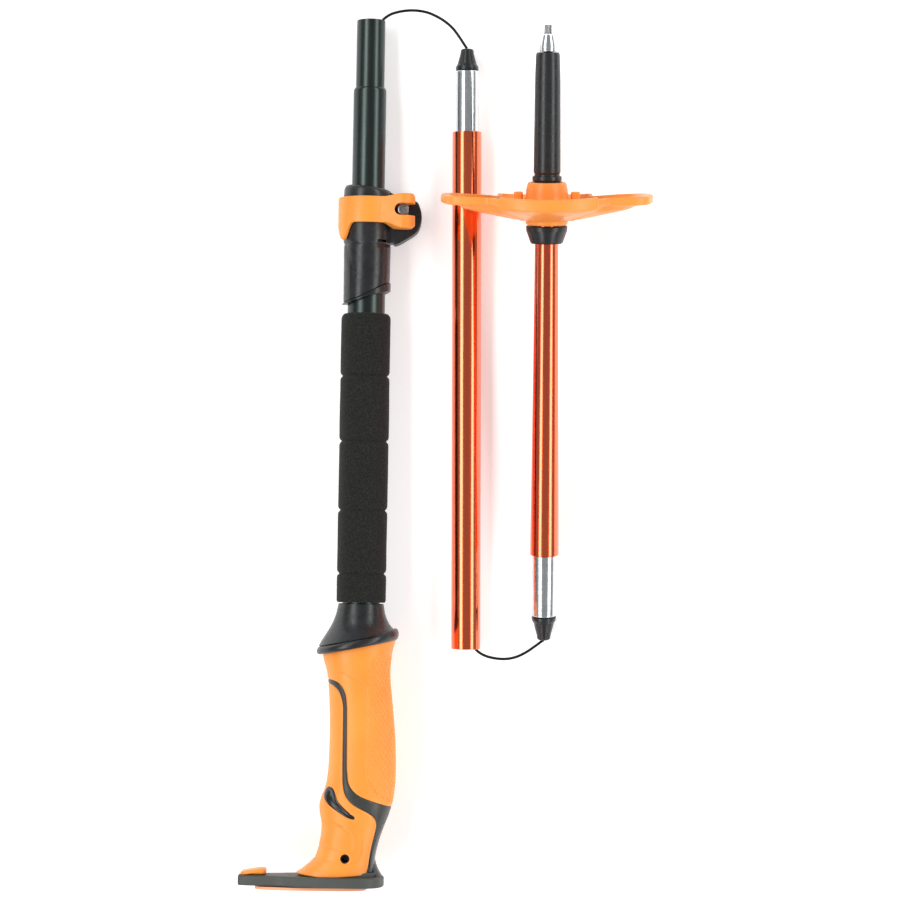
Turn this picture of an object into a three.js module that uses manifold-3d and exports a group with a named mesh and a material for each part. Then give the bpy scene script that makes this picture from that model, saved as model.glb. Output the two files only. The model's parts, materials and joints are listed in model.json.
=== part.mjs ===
// A folding, telescoping ski pole with a scraper grip, lying folded on a flat surface.
// Millimetres, +Z up. Each of the three sections is a group with its own frame: local +Y runs
// along the tube, and "station" in the comments means a place along it.

import * as THREE from 'three';
import { mergeVertices } from 'three/addons/utils/BufferGeometryUtils.js';
import Module from 'manifold-3d';

const wasm = await Module();
wasm.setup();

// ---- Driving dimensions -------------------------------------------------------------------

const GAP = 0.3;                     // between pieces that touch
const SIDES = 24;                    // sides of a round piece
const CABLE_R = 0.7;
const CABLE_SIDES = 8;

// Where each section lies: origin, lean in plan and slope, in radians.
const CENTRING = [2.63, 1.8, 0.02];  // brings the middle of the whole pole to the origin
const UPPER_AT = { origin: [-43.2, -74.3, 19.65], lean: -0.0165, slope: -0.0388 };
const MIDDLE_AT = { origin: [8.43, 196.4, 7.2], lean: Math.PI - 0.0025, slope: 0 };
const LOWER_AT = { origin: [45.95, -93, 4.75], lean: -0.0024, slope: 0.158 };

// Upper section: station 0 is the foam's lower end, and the grip is at negative stations.
const OUTER_TUBE = { r: 9.1, bore: 8.3, from: -92, to: 199.6 };
const FOAM = { r: 12, bore: 9.4, from: GAP, to: 140.8, shoulder: 2.5, groove: 1.2 };
const FOAM_GROOVES = [14.3, 45, 78.5, 110.3];
const COLLAR = { top: 0, topR: 11.2, waist: -11, waistR: 14.2, rim: -19.6, rimR: 20.3,
  rimHalf: 1.9, tilt: 0.2, shiftX: -1.3 };
const GRIP_BOTTOM = -130.3;
const SKIN = 1.6;                    // depth of the black overmould in the grip
const LEASH_HOLE = { x: -6.1, y: -125.9, r: 2.25 };
const PLATE = { top: -131.9, thick: 4.9 };
const PALM_PAD = { left: -41, right: 4, thick: 2.3, halfDepth: 11 };
const ARM_PAD = { left: -56, right: -43.5, thick: 4, halfDepth: 6.4 };

const SLEEVE = { r: 11.5, bore: 9.4, low: 144.4, high: 151, top: 174.6 };
const CLAMP = { r: 11.8, from: 174.6, to: 203, lipBore: 8.35, lipFrom: 200 };
const EAR = { front: 4.4, back: -6.6, slit: 0.75, left: 8 };
const PIVOT = { x: 17.4, z: 10.6 };  // the lever's barrel pin
const CAM_R = 5.8;
const PIN_R = 2.6;
const LEVER = { inner: 12.3, outer: 14.3, from: 184.4, to: 197.1, forkFrom: 181.6, forkTo: 198 };
const SLOT = { from: 187.7, to: 193.7, left: 13.2 };
const SCREW = { y: 190.7, headR: 2.6, headLow: 1.2, headTop: 2.8, shankR: 1.2, low: -9.4 };
const NUT = { r: 2.9, thick: 2.4 };

const INNER_TUBE = { r: 8, bore: 7.25, from: -20, to: 251.3 };
const JOINT_TUBE = { r: 6.95, bore: 6, from: 200, to: 284.6 };
const BUSH = { r: 8.15, thick: 3, spigotR: 6.95, spigot: 8, bore: 4.5 };
const UPPER_STOP = { at: 150, r: 3.5, length: 8 };
const UPPER_RUN_END = 268;
const PLUG_ROOM = 44;                // what the lower section's plug needs free in the middle tube

// Middle section: station 0 is the tip of its cone.
const MIDDLE = { coneTipR: 3.2, coneR: 5.6, cone: 10.8, ferruleR: 5.75, ferruleEnd: 40.7,
  tubeR: 7.18, wall: 0.85, end: 293.8 };

// Lower section: station 0 is the tip of its cone.
const LOWER = { coneTipR: 3.3, coneR: 6, cone: 12, ferruleR: 6.1, ferruleEnd: 42.5,
  tubeR: 7.05, taperR: 5.7, wall: 0.8, tubeEnd: 212 };
const LOWER_STOP = { at: 88, r: 3.5, length: 8 };
const BASKET_COLLAR = { from: 194.7, to: 203.2, lowR: 7.8, highR: 10 };
const BASKET = { hubLow: 203.6, hubHigh: 224.2, rim: 213.9, bore: 7.5, hubR: 10.1, hubTopR: 9.2,
  rimHalf: 3, webOut: 40, edge: 50, radius: 51, liftSide: 2.6,
  flex: 1.6 };                       // the lower edge is pushed back where it rests on the ground
const BASKET_LOBES = { notch: 36.5, near: 38 };
const RING = { from: 224.6, to: 227.1, r: 7.1, bore: 6.4 };
const SLEEVE_TIP = { from: 203.6, to: 285.9, r: 6.5, neckR: 6.1, highR: 6.15, endR: 5.4 };
const TIP_CONE = { to: 294.2, lowR: 4.3, highR: 2.8 };
const TIP_POINT = { to: 298.9, r: 2 };

// ---- Materials ----------------------------------------------------------------------------

const paint = (color, roughness, metalness) =>
  new THREE.MeshStandardMaterial({ color, roughness, metalness });
const ORANGE = paint(0xfaa242, 0.55, 0);
const BLACK = paint(0x2c2d2e, 0.5, 0);
const GREY = paint(0x555858, 0.6, 0);
const FOAM_BLACK = paint(0x232321, 0.95, 0);
const DARK_TUBE = paint(0x20302c, 0.3, 0.8);
const ORANGE_TUBE = paint(0xe06a12, 0.25, 0.9);
const SILVER = paint(0xd2d4d6, 0.25, 1);
const STEEL = paint(0x9a9c9e, 0.35, 1);
const SALMON = paint(0xf2a07a, 0.7, 0);

// ---- Solids -------------------------------------------------------------------------------

// The signed volume of an indexed triangle mesh, negative when its faces point inwards.
function signedVolume(points, triangles) {
  const [a, b, c] = [new THREE.Vector3(), new THREE.Vector3(), new THREE.Vector3()];
  let volume = 0;
  for (let i = 0; i < triangles.length; i += 3) {
    a.fromArray(points, 3 * triangles[i]);
    b.fromArray(points, 3 * triangles[i + 1]);
    c.fromArray(points, 3 * triangles[i + 2]);
    volume += a.dot(b.cross(c)) / 6;
  }
  return volume;
}

// A closed geometry as a manifold solid, whichever way its faces point.
function solid(geometry) {
  const bare = geometry.index ? geometry.toNonIndexed() : geometry.clone();
  bare.deleteAttribute('normal');
  bare.deleteAttribute('uv');
  const merged = mergeVertices(bare, 1e-4);
  const points = merged.attributes.position.array;
  const triangles = [];
  for (let i = 0; i < merged.index.count; i += 3) {
    const [a, b, c] = [0, 1, 2].map((k) => merged.index.array[i + k]);
    if (a !== b && b !== c && c !== a) triangles.push(a, b, c);
  }
  if (signedVolume(points, triangles) < 0) {
    for (let i = 0; i < triangles.length; i += 3) {
      [triangles[i], triangles[i + 1]] = [triangles[i + 1], triangles[i]];
    }
  }
  return new wasm.Manifold(new wasm.Mesh({
    numProp: 3,
    vertProperties: new Float32Array(points),
    triVerts: new Uint32Array(triangles),
  }));
}

// A named mesh from a manifold solid.
function piece(name, body, material) {
  const { vertProperties, triVerts } = body.getMesh();
  const geometry = new THREE.BufferGeometry();
  geometry.setAttribute('position', new THREE.BufferAttribute(vertProperties, 3));
  geometry.setIndex(new THREE.BufferAttribute(triVerts, 1));
  geometry.computeVertexNormals();
  const mesh = new THREE.Mesh(geometry, material);
  mesh.name = name;
  return mesh;
}

// A solid of revolution about local Y from [radius, station] pairs.
function turned(profile, sides = SIDES) {
  const closed = profile[0][0] === 0 ? profile : [...profile, profile[0]];
  return solid(new THREE.LatheGeometry(closed.map(([r, y]) => new THREE.Vector2(r, y)), sides));
}

const rod = (r, from, to, sides = SIDES) => turned([[0, from], [r, from], [r, to], [0, to]], sides);
const pipe = (r, bore, from, to, sides = SIDES) =>
  turned([[bore, from], [r, from], [r, to], [bore, to]], sides);

// A plate drawn in local x and y, from one height to another.
function plateZ(points, low, high) {
  const shape = new THREE.Shape(points.map(([x, y]) => new THREE.Vector2(x, y)));
  const geometry = new THREE.ExtrudeGeometry(shape, { depth: high - low, bevelEnabled: false });
  return solid(geometry.translate(0, 0, low));
}

// A plate drawn in local x and z, from one station to another.
function plateY(points, from, to) {
  const shape = new THREE.Shape(points.map(([x, z]) => new THREE.Vector2(x, -z)));
  const geometry = new THREE.ExtrudeGeometry(shape, { depth: to - from, bevelEnabled: false });
  return solid(geometry.rotateX(-Math.PI / 2).translate(0, from, 0));
}

const rectangle = (x0, y0, x1, y1) => [[x0, y0], [x1, y0], [x1, y1], [x0, y1]];

const arcPoints = (cx, cy, r, from, to, steps) =>
  Array.from({ length: steps + 1 }, (_, i) => {
    const angle = from + ((to - from) * i) / steps;
    return [cx + r * Math.cos(angle), cy + r * Math.sin(angle)];
  });

const circle = (cx, cy, r, sides = 24) =>
  arcPoints(cx, cy, r, 0, 2 * Math.PI, sides).slice(0, sides);

// A body through closed rings of points, each ring capped by a fan at the two ends.
function loft(rings) {
  const count = rings[0].length;
  const middle = (ring) => ring
    .reduce((sum, p) => sum.add(p), new THREE.Vector3())
    .divideScalar(count);
  const points = [...rings.flat(), middle(rings[0]), middle(rings.at(-1))];
  const index = [];
  const last = (rings.length - 1) * count;
  for (let i = 0; i < count; i += 1) {
    const next = (i + 1) % count;
    for (let k = 0; k < last; k += count) {
      index.push(k + i, k + next, k + count + i, k + next, k + count + next, k + count + i);
    }
    index.push(last + count, next, i, last + i, last + next, last + count + 1);
  }
  const geometry = new THREE.BufferGeometry();
  geometry.setAttribute('position',
    new THREE.Float32BufferAttribute(points.flatMap((p) => [p.x, p.y, p.z]), 3));
  geometry.setIndex(index);
  return solid(geometry);
}

// A rounded section at a station: half width a in x, half depth b in z, squarer as power grows.
// The ring tilts about z, so that its +x side is higher for a positive tilt.
function section(y, x, a, b, power = 2, tilt = 0, sides = SIDES) {
  return Array.from({ length: sides }, (_, i) => {
    const angle = (2 * Math.PI * i) / sides;
    const [c, s] = [Math.cos(angle), Math.sin(angle)];
    const round = (v) => Math.sign(v) * Math.abs(v) ** (2 / power);
    const px = a * round(c);
    return new THREE.Vector3(x + px * Math.cos(tilt), y + px * Math.sin(tilt), b * round(s));
  });
}

// A cable along a smooth curve through points.
function cable(points, steps) {
  const shape = new THREE.Shape(circle(0, 0, CABLE_R, CABLE_SIDES)
    .map(([x, y]) => new THREE.Vector2(x, y)));
  const path = new THREE.CatmullRomCurve3(points.map((p) => new THREE.Vector3(...p)));
  return solid(new THREE.ExtrudeGeometry(shape, { steps, bevelEnabled: false, extrudePath: path }));
}

// ---- Upper section: grip and head ---------------------------------------------------------

// [station, left edge, right edge, half depth, squareness] of the moulded grip.
const GRIP_SECTIONS = [
  [-20, -17.5, 16, 16.5, 2],
  [-26.4, -18.2, 14.9, 16, 2.1],
  [-35, -15.6, 14.6, 14.6, 2.2],
  [-50, -14.4, 16.2, 14.2, 2.2],
  [-68, -14.1, 17.8, 14.4, 2.2],
  [-85, -15, 18.1, 14.4, 2.2],
  [-96, -18.2, 16.9, 13.8, 2.2],
  [-101, -18.3, 15.6, 13.4, 2.2],
  [-107, -17.3, 14.1, 13, 2.2],
  [-114, -17.8, 12.2, 12.8, 2.3],
  [-122, -20, 10.9, 12.8, 2.4],
  [-127.6, -25.5, 10.7, 12.8, 2.4],
  [GRIP_BOTTOM, -29, 11.4, 12.8, 2.4],
];

// The grip's outer form, pulled in all round by an inset.
const gripForm = (inset) => loft(GRIP_SECTIONS.map(([y, left, right, depth, power]) =>
  section(y, (left + right) / 2, (right - left) / 2 - inset, depth - inset, power)));

// The overmould's outline: a stripe down the front, across to the back edge and down the spine.
const INLAY_OUTLINE = [
  [-15.2, -36.5], [-11, -38], [-7.2, -41.5], [-5.6, -47], [-5.4, -84], [-4.6, -89.5],
  [0.2, -94.6], [15, -100.4], [20, -101.6], [20, -129], [8.4, -129], [9.3, -121], [10.6, -112],
  [11.6, -107.8], [7.6, -104.2], [-3, -99], [-6.4, -94.4], [-7.8, -89], [-7.9, -50],
  [-9.4, -43.6], [-12.4, -40.4], [-16.4, -38.8],
];
const INSERT_OUTLINE = [
  [-14.6, -91.6], [-12.4, -95], [-8.6, -99.4], [-2.6, -105.2], [-4.4, -106.6], [-9.4, -104.2],
  [-14.4, -101.6], [-17.4, -98.4], [-17.2, -94.6],
];

// An outline moved in by a distance, for one drawn clockwise.
function shrunk(outline, distance) {
  return outline.map((p, i) => {
    const before = new THREE.Vector2(...outline.at(i - 1));
    const here = new THREE.Vector2(...p);
    const after = new THREE.Vector2(...outline[(i + 1) % outline.length]);
    const along = here.clone().sub(before).normalize().add(after.clone().sub(here).normalize());
    const inward = new THREE.Vector2(along.y, -along.x).normalize();
    return here.addScaledVector(inward, distance).toArray();
  });
}

function gripPieces() {
  const core = gripForm(SKIN);
  const clearCore = gripForm(SKIN - GAP);
  const full = gripForm(0);
  const inlayZone = plateZ(INLAY_OUTLINE, -30, 30);
  const insertZone = plateZ(INSERT_OUTLINE, -30, 30);
  const tubeRoom = rod(OUTER_TUBE.r + GAP, OUTER_TUBE.from - GAP, 0);
  const leash = plateZ(circle(LEASH_HOLE.x, LEASH_HOLE.y, LEASH_HOLE.r, 16), -30, 30);
  const body = core.add(full.subtract(inlayZone).subtract(insertZone))
    .subtract(tubeRoom).subtract(leash);
  const inlay = full.intersect(plateZ(shrunk(INLAY_OUTLINE, GAP / 2), -30, 30))
    .subtract(clearCore);
  const insert = full.subtract(clearCore);
  const insertOutline = shrunk(INSERT_OUTLINE, GAP / 2);
  return [
    piece('grip_body', body, ORANGE),
    piece('grip_inlay', inlay, BLACK),
    piece('finger_insert_front', insert.intersect(plateZ(insertOutline, 0.2, 30)), BLACK),
    piece('finger_insert_back', insert.intersect(plateZ(insertOutline, -30, -0.2)), BLACK),
  ];
}

// The flared ring: straight at the foam, then leaning over to its rolled rim.
function gripCollar() {
  const { top, topR, waist, waistR, rim, rimR, rimHalf, tilt, shiftX } = COLLAR;
  const form = loft([
    section(rim - 1.4 * rimHalf, shiftX, rimR - 2.4, rimR - 2.4, 2, tilt),
    section(rim - rimHalf, shiftX, rimR - 0.5, rimR - 0.5, 2, tilt),
    section(rim, shiftX, rimR, rimR, 2, tilt),
    section(rim + rimHalf, shiftX, rimR - 0.6, rimR - 0.6, 2, tilt),
    section(rim + 1.8 * rimHalf, 0.7 * shiftX, 17.2, 17.2, 2, 0.7 * tilt),
    section(waist, 0.1, waistR, waistR, 2, 0.2 * tilt),
    section(waist + 5, 0, topR + 0.9, topR + 0.9),
    section(top - GAP, 0, topR, topR),
  ]);
  const seat = loft([
    section(rim - 3 * rimHalf, -0.4, 17, 17, 2, tilt),
    section(rim - 1.4 * rimHalf + 0.4, -0.4, 17, 17, 2, tilt),
    section(rim + 1.2, -0.6, 16.4, 16.4, 2, tilt),
  ]);
  const body = form.subtract(rod(OUTER_TUBE.r + GAP, -40, 1)).subtract(gripForm(-GAP))
    .subtract(seat);
  return piece('grip_collar', body, BLACK);
}

// The head plate seen along the pole: a broad plate under the grip with a narrower arm.
const PLATE_OUTLINE = [
  [-57.3, -5.5], [-55.8, -7.2], [-50, -8.2], [-38, -9.6], [-26, -13.4], [-14, -15.2], [2, -15],
  [9.5, -12], [12.6, -6.5], [13.4, 0], [12.6, 6.5], [9.5, 12], [2, 15], [-14, 15.2],
  [-26, 13.4], [-38, 9.6], [-50, 8.2], [-55.8, 7.2], [-57.3, 5.5],
];

// A rounded pad drawn in x and z.
const padOutline = (left, right, half) => [
  ...arcPoints(right - half * 0.8, 0, half, -Math.PI / 2.6, Math.PI / 2.6, 6),
  ...arcPoints(left + half * 0.8, 0, half, Math.PI - Math.PI / 2.6, Math.PI + Math.PI / 2.6, 6),
];

function headPieces() {
  const { top, thick } = PLATE;
  const bottom = top - thick;
  const plate = plateY(PLATE_OUTLINE, bottom, top);
  const palm = plateY(padOutline(PALM_PAD.left, PALM_PAD.right, PALM_PAD.halfDepth),
    bottom - GAP - PALM_PAD.thick, bottom - GAP);
  const arm = plateY(
    rectangle(ARM_PAD.left, -ARM_PAD.halfDepth, ARM_PAD.right, ARM_PAD.halfDepth),
    top + GAP, top + GAP + ARM_PAD.thick);
  return [
    piece('head_plate', plate, GREY),
    piece('palm_pad', palm, SALMON),
    piece('arm_pad', arm, ORANGE),
  ];
}

function foamGrip() {
  const { r, bore, from, to, shoulder, groove } = FOAM;
  const cuts = FOAM_GROOVES.flatMap((y) => [[r, y - groove], [r - groove, y], [r, y + groove]]);
  const profile = [[bore, from], [r, from], ...cuts, [r, to - shoulder],
    [r - 0.7, to - 0.7], [r - shoulder, to], [bore, to]];
  return piece('foam_grip', turned(profile), FOAM_BLACK);
}

// ---- Upper section: the lock --------------------------------------------------------------

function clampHousing() {
  const { front, back, slit, left } = EAR;
  const sleeve = pipe(SLEEVE.r, SLEEVE.bore, SLEEVE.low, SLEEVE.top)
    .subtract(plateZ([[-20, 140], [20, 140], [20, SLEEVE.high], [-20, SLEEVE.low]], -20, 20));
  const collar = pipe(CLAMP.r, SLEEVE.bore, CLAMP.from - 0.1, CLAMP.lipFrom + 0.1)
    .add(pipe(CLAMP.r, CLAMP.lipBore, CLAMP.lipFrom, CLAMP.to));
  const ears = plateZ([[left, 174.6], [13.7, 174.6], [26.2, 186.3], [23.2, 198], [left, 201]],
    back, front).subtract(rod(SLEEVE.bore, 170, 205));
  const cut = plateZ(rectangle(left - 2, 172, 30, 210), -slit, slit);
  const screwHole = plateZ(circle(PIVOT.x, SCREW.y, SCREW.shankR + GAP, 16), -20, 20);
  const body = sleeve.add(collar).add(ears).subtract(cut).subtract(screwHole);
  return piece('clamp_housing', body, BLACK);
}

// The lever: a band round the front of the clamp and a forked cam on the barrel pin.
function lockLever() {
  const { inner, outer, from, to, forkFrom, forkTo } = LEVER;
  const deg = Math.PI / 180;
  const band = plateY([
    ...arcPoints(0, 0, outer, 58 * deg, 196 * deg, 24),
    ...arcPoints(0, 0, inner, 196 * deg, 48 * deg, 24),
  ], from, to);
  const tongue = plateY([
    ...arcPoints(0, 0, outer, 150 * deg, 192 * deg, 6),
    ...arcPoints(0, 0, inner, 192 * deg, 150 * deg, 6),
  ], from - 8.6, from + 0.5);
  const cam = plateY([
    ...arcPoints(PIVOT.x, PIVOT.z, CAM_R, -120 * deg, 80 * deg, 16),
    [5.4, 13.6], [5.9, 11.9], [8.7, 9.5], [12.6, 7.3],
  ], forkFrom, forkTo);
  const slot = plateZ(rectangle(SLOT.left, SLOT.from, 40, SLOT.to), -5, 30);
  const pinRoom = plateY(circle(PIVOT.x, PIVOT.z, PIN_R + GAP, 20), forkFrom + 1.6, forkTo - 1.6);
  const body = band.add(tongue).add(cam).subtract(slot).subtract(pinRoom);
  return piece('lock_lever', body, ORANGE);
}

function lockFasteners() {
  const { y, headR, headLow, headTop, shankR, low } = SCREW;
  const pin = plateY(circle(PIVOT.x, PIVOT.z, PIN_R, 20), LEVER.forkFrom + 2, LEVER.forkTo - 2)
    .subtract(plateZ(circle(PIVOT.x, y, shankR + GAP, 16), 0, 30))
    .subtract(plateZ(circle(PIVOT.x, y, headR + GAP, 20), PIVOT.z + headLow - GAP, 30));
  const socket = plateZ(circle(PIVOT.x, y, 1.25, 6), PIVOT.z + headTop - 1.3, 30);
  const screw = plateZ(circle(PIVOT.x, y, shankR, 16), low, PIVOT.z + headLow + 0.1)
    .add(plateZ(circle(PIVOT.x, y, headR, 20), PIVOT.z + headLow, PIVOT.z + headTop))
    .subtract(socket);
  const nutTop = EAR.back - GAP;
  const nut = plateZ(circle(PIVOT.x, y, NUT.r, 6), nutTop - NUT.thick, nutTop)
    .subtract(plateZ(circle(PIVOT.x, y, shankR + GAP, 16), -20, 0));
  return [
    piece('barrel_pin', pin, STEEL),
    piece('clamp_screw', screw, STEEL),
    piece('clamp_nut', nut, STEEL),
  ];
}

// ---- Upper section: tubes -----------------------------------------------------------------

function upperTubes() {
  const inner = turned([[INNER_TUBE.bore, INNER_TUBE.from], [INNER_TUBE.r, INNER_TUBE.from],
    [INNER_TUBE.r, INNER_TUBE.to - 1.5], [INNER_TUBE.bore + 0.2, INNER_TUBE.to],
    [INNER_TUBE.bore, INNER_TUBE.to]]);
  const bushTop = INNER_TUBE.from - GAP;
  const bush = turned([[BUSH.bore, bushTop - BUSH.thick], [BUSH.r, bushTop - BUSH.thick],
    [BUSH.r, bushTop], [BUSH.spigotR, bushTop], [BUSH.spigotR, bushTop + BUSH.spigot],
    [BUSH.bore, bushTop + BUSH.spigot]]);
  return [
    piece('outer_tube', pipe(OUTER_TUBE.r, OUTER_TUBE.bore, OUTER_TUBE.from, OUTER_TUBE.to),
      DARK_TUBE),
    piece('inner_tube', inner, DARK_TUBE),
    piece('joint_tube', pipe(JOINT_TUBE.r, JOINT_TUBE.bore, JOINT_TUBE.from, JOINT_TUBE.to),
      DARK_TUBE),
    piece('guide_bush', bush, BLACK),
    piece('upper_tether_stop',
      rod(UPPER_STOP.r, UPPER_STOP.at, UPPER_STOP.at + UPPER_STOP.length, 16), STEEL),
    piece('upper_tether_run',
      rod(CABLE_R, UPPER_STOP.at + UPPER_STOP.length + GAP, UPPER_RUN_END, CABLE_SIDES), BLACK),
  ];
}

// ---- Ends shared by the two folding sections ----------------------------------------------

// The black lead-in cone, drilled for the cable, with a spigot inside the ferrule.
function leadCone(name, end, spigotR) {
  const bore = CABLE_R + GAP + 0.1;
  return piece(name, turned([
    [bore, 0], [end.coneTipR - 0.5, 0], [end.coneTipR, 0.6], [end.coneR - 0.3, end.cone - 1.8],
    [end.coneR, end.cone - 0.8], [end.coneR, end.cone - GAP], [spigotR, end.cone - GAP],
    [spigotR, end.cone + 8], [bore, end.cone + 8],
  ]), BLACK);
}

// The bright ferrule: bare where it plugs in, and stepped down where the tube holds it.
function ferrule(name, end, heldR, bore) {
  return piece(name, turned([
    [bore, end.cone], [end.ferruleR - 0.3, end.cone], [end.ferruleR, end.cone + 0.5],
    [end.ferruleR, end.ferruleEnd - GAP], [heldR, end.ferruleEnd - GAP],
    [heldR, end.ferruleEnd + 22], [bore, end.ferruleEnd + 22],
  ]), SILVER);
}

// ---- Middle section -----------------------------------------------------------------------

function middlePieces() {
  const { tubeR, wall, ferruleEnd, end } = MIDDLE;
  const tube = pipe(tubeR, tubeR - wall, ferruleEnd, end);
  const run = rod(CABLE_R, GAP, end - PLUG_ROOM, CABLE_SIDES);
  return [
    leadCone('middle_cone', MIDDLE, 4),
    ferrule('middle_ferrule', MIDDLE, MIDDLE.ferruleR - 0.05, 4.4),
    piece('middle_tube', tube, ORANGE_TUBE),
    piece('middle_tether_run', run, BLACK),
  ];
}

// ---- Lower section ------------------------------------------------------------------------

// The tube's outer radius at a station, as it narrows towards the basket.
const lowerR = (y) => THREE.MathUtils.mapLinear(Math.min(y, BASKET_COLLAR.from),
  LOWER.ferruleEnd, BASKET_COLLAR.from, LOWER.tubeR, LOWER.taperR);

function lowerTube() {
  const { ferruleEnd, tubeEnd, wall } = LOWER;
  const narrow = BASKET_COLLAR.from;
  return piece('lower_tube', turned([
    [lowerR(ferruleEnd) - wall, ferruleEnd], [lowerR(ferruleEnd), ferruleEnd],
    [lowerR(narrow), narrow], [lowerR(narrow) - 0.1, tubeEnd],
    [lowerR(narrow) - wall, tubeEnd], [lowerR(narrow) - wall, narrow],
  ]), ORANGE_TUBE);
}

function tipPieces() {
  const { from, to, r, neckR, highR, endR } = SLEEVE_TIP;
  const room = LOWER.tubeEnd + GAP;
  const stud = 16;
  const sleeve = turned([
    [5.95, from], [neckR, from], [neckR, RING.to + 1], [r, RING.to + 1.6], [highR, to - 14],
    [endR, to], [2.3, to], [2.3, to - stud - GAP], [0, to - stud - GAP], [0, room],
    [5.95, room],
  ].reverse());
  const cone = turned([[0, to - stud], [2, to - stud], [2, to + GAP], [TIP_CONE.lowR, to + GAP],
    [TIP_CONE.highR, TIP_CONE.to], [0, TIP_CONE.to]]);
  const flutes = Array.from({ length: 6 }, (_, i) => {
    const angle = (i * Math.PI) / 3;
    const [x, z] = [2.2 * Math.cos(angle), 2.2 * Math.sin(angle)];
    return plateY(circle(x, z, 0.6, 8), TIP_CONE.to + 1, TIP_POINT.to + 1);
  });
  const point = flutes.reduce((body, flute) => body.subtract(flute),
    rod(TIP_POINT.r, TIP_CONE.to + GAP, TIP_POINT.to, 24));
  return [
    piece('tip_sleeve', sleeve, BLACK),
    piece('tip_ring', pipe(RING.r, RING.bore, RING.from, RING.to), BLACK),
    piece('tip_cone', cone, SILVER),
    piece('tip_point', point, STEEL),
  ];
}

// The basket's outline radius: broad lobes at the sides, shorter ones at top and bottom.
function basketRadius(angle) {
  const side = Math.abs(Math.cos(angle));
  const { smoothstep } = THREE.MathUtils;
  const wide = (BASKET.radius - BASKET_LOBES.notch) * smoothstep(side, 0.82, 0.96);
  const near = (BASKET_LOBES.near - BASKET_LOBES.notch) * smoothstep(-side, -0.7, -0.6);
  return BASKET_LOBES.notch + wide + near;
}

function basket() {
  const {
    hubLow, hubHigh, rim, bore, hubR, hubTopR, rimHalf, webOut, edge, liftSide, flex,
  } = BASKET;
  const profile = [
    [bore, hubLow], [hubR, hubLow], [hubR + 3, hubLow + 1.6], [webOut, rim - 1.4],
    [webOut + 2, rim - rimHalf], [edge - 0.6, rim - rimHalf], [edge, rim - rimHalf + 0.8],
    [edge, rim + rimHalf - 0.8], [edge - 0.6, rim + rimHalf], [webOut + 2, rim + rimHalf],
    [webOut, rim + 0.8], [hubR + 3, hubLow + 4.4], [hubR + 0.6, rim], [hubR, rim + 3.5],
    [hubTopR, hubHigh], [bore, hubHigh],
  ];
  const closed = [...profile, profile[0]].map(([r, y]) => new THREE.Vector2(r, y));
  const geometry = new THREE.LatheGeometry(closed, 40);
  const position = geometry.attributes.position;
  for (let i = 0; i < position.count; i += 1) {
    const [x, z] = [position.getX(i), position.getZ(i)];
    const r = Math.hypot(x, z);
    const angle = Math.atan2(z, x);
    // The share of the way from the hub's foot to the rim: both the outline and the bend grow with it.
    const reach = THREE.MathUtils.clamp((r - 14) / (edge - 14), 0, 1);
    const bend = liftSide * Math.cos(angle) ** 2 + flex * Math.sin(angle);
    const grow = 1 + (reach * (basketRadius(angle) - edge)) / r;
    position.setXYZ(i, x * grow, position.getY(i) + reach * bend, z * grow);
  }
  return piece('basket', solid(geometry), ORANGE);
}

function lowerPieces() {
  const collar = turned([
    [lowerR(200) + GAP, BASKET_COLLAR.from], [BASKET_COLLAR.lowR, BASKET_COLLAR.from],
    [BASKET_COLLAR.highR, BASKET_COLLAR.to - 2], [BASKET_COLLAR.highR, BASKET_COLLAR.to],
    [lowerR(200) + GAP, BASKET_COLLAR.to],
  ]);
  const stop = rod(LOWER_STOP.r, LOWER_STOP.at, LOWER_STOP.at + LOWER_STOP.length, 16);
  return [
    leadCone('lower_cone', LOWER, 4.3),
    ferrule('lower_ferrule', LOWER, LOWER.ferruleR - 0.45, 4.8),
    lowerTube(),
    piece('basket_collar', collar, BLACK),
    basket(),
    ...tipPieces(),
    piece('lower_tether_stop', stop, STEEL),
    piece('lower_tether_run', rod(CABLE_R, GAP, LOWER_STOP.at - GAP, CABLE_SIDES), BLACK),
  ];
}

// ---- The free loops of the tether ---------------------------------------------------------

// Each leaves a tube's mouth, bows out and enters the next section's cone.
const UPPER_LOOP = [
  [-38.77, 193.8, 9.23], [-38.3, 199, 8.9], [-36.4, 205, 8.4], [-33.7, 209.6, 8.1],
  [-29.8, 213, 7.4], [-24.4, 214.9, 6.4], [-18.2, 215.6, 5.5], [-12, 214.9, 4.9],
  [-7, 213, 4.7], [-2, 209.9, 5], [1.7, 206.4, 5.7], [4.6, 202.4, 6.5], [6.9, 198.8, 7],
  [8.3, 196.7, 7.2],
];
const LOWER_LOOP = [
  [7.74, -81.75, 7.2], [8.2, -86.4, 7.1], [9.6, -91.8, 6.9], [11.9, -96.8, 6.4],
  [15.4, -100, 5.6], [20.4, -101.9, 4.7], [26.6, -102.6, 4], [32.2, -101.7, 3.7],
  [37.2, -99.4, 3.7], [41.2, -96.7, 3.9], [44.6, -94.2, 4.36], [45.95, -93.2, 4.66],
];

// ---- Assembly -----------------------------------------------------------------------------

function placed({ origin, lean, slope }, pieces) {
  const group = new THREE.Group();
  group.position.set(...origin);
  group.rotation.set(slope, 0, lean);
  group.add(...pieces);
  return group;
}

const pole = new THREE.Group();
pole.position.set(...CENTRING);
pole.add(
  placed(UPPER_AT, [...gripPieces(), gripCollar(), ...headPieces(), foamGrip(), clampHousing(),
    lockLever(), ...lockFasteners(), ...upperTubes()]),
  placed(MIDDLE_AT, middlePieces()),
  placed(LOWER_AT, lowerPieces()),
  piece('upper_tether_loop', cable(UPPER_LOOP, 30), BLACK),
  piece('lower_tether_loop', cable(LOWER_LOOP, 30), BLACK),
);

export default pole;
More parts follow.
